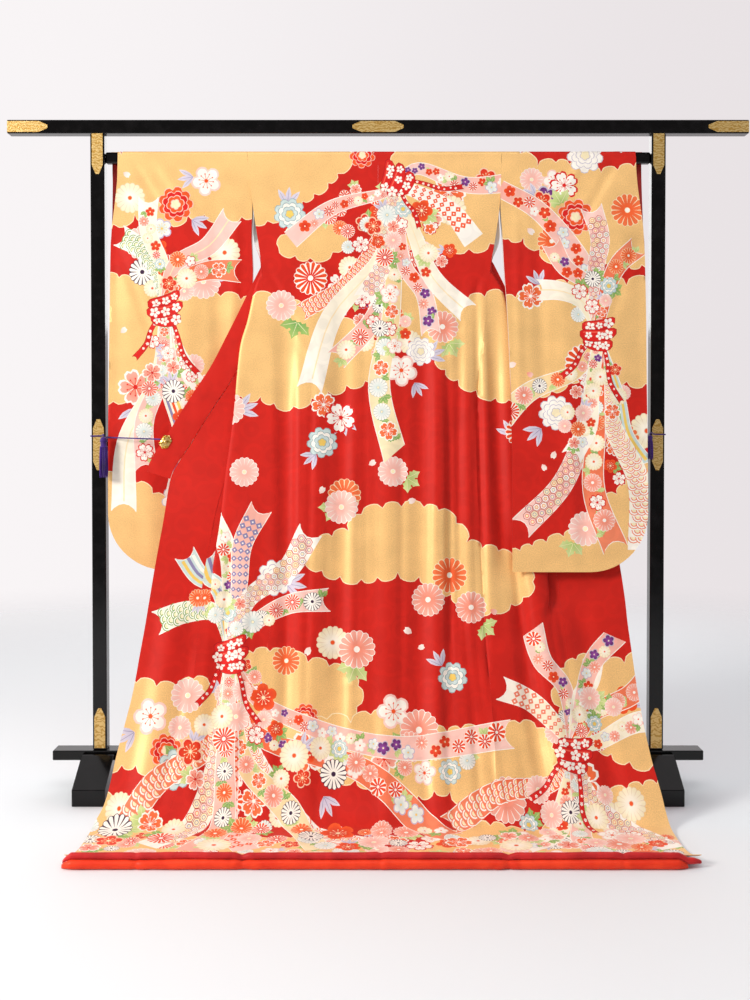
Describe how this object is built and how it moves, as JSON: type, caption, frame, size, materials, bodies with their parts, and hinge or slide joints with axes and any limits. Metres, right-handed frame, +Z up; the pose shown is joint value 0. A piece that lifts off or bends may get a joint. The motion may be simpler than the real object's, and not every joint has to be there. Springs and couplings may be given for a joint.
{
  "type": "furisode kimono on a kimono stand",
  "caption": "Long-sleeved red furisode with gold clouds, ribbon bundles and blossoms, shown from behind, spread over a black lacquered kimono stand with gilt plates.",
  "frame": {"origin": "middle of the whole object's underside, on the floor", "axes": "+X along the stand's beam, to the right as the back of the garment is seen; +Y from the viewer to the back; +Z up"},
  "size_m": [1.836, 0.7352, 1.67],
  "materials": {
    "lacquered_wood": "black lacquer, high gloss",
    "gilt_plate": "gilt, engraved, satin",
    "printed_silk": "red silk crepe with a painted and gilt print",
    "dark_red_silk": "plain dark red silk, padded",
    "vermilion_silk": "plain vermilion silk, padded",
    "purple_silk": "twisted silk cord",
    "gilt_clip": "gilt, satin"
  },
  "bodies": {
    "root": {"top_beam": "lacquered_wood", "post_left": "lacquered_wood", "post_right": "lacquered_wood", "foot_left": "lacquered_wood", "foot_right": "lacquered_wood", "upper_rod": "lacquered_wood", "mid_rail": "lacquered_wood", "lower_bar": "lacquered_wood", "plate_beam_left": "gilt_plate", "plate_beam_centre": "gilt_plate", "plate_beam_right": "gilt_plate", "plate_top_left": "gilt_plate", "plate_top_right": "gilt_plate", "plate_middle_left": "gilt_plate", "plate_middle_right": "gilt_plate", "plate_bottom_left": "gilt_plate", "plate_bottom_right": "gilt_plate", "back_left": "printed_silk", "front_left": "printed_silk", "okumi_left": "printed_silk", "collar_left": "printed_silk", "sleeve_left_near": "printed_silk", "sleeve_left_far": "printed_silk", "back_right": "printed_silk", "front_right": "printed_silk", "okumi_right": "printed_silk", "collar_right": "printed_silk", "sleeve_right_near": "printed_silk", "sleeve_right_far": "printed_silk", "hem_roll_upper": "dark_red_silk", "hem_roll_lower": "vermilion_silk", "collar_clip_left": "gilt_clip", "tie_cord_left": "purple_silk", "tassel_left": "purple_silk", "collar_clip_right": "gilt_clip", "tie_cord_right": "purple_silk", "tassel_right": "purple_silk"}
  },
  "joints": []
}
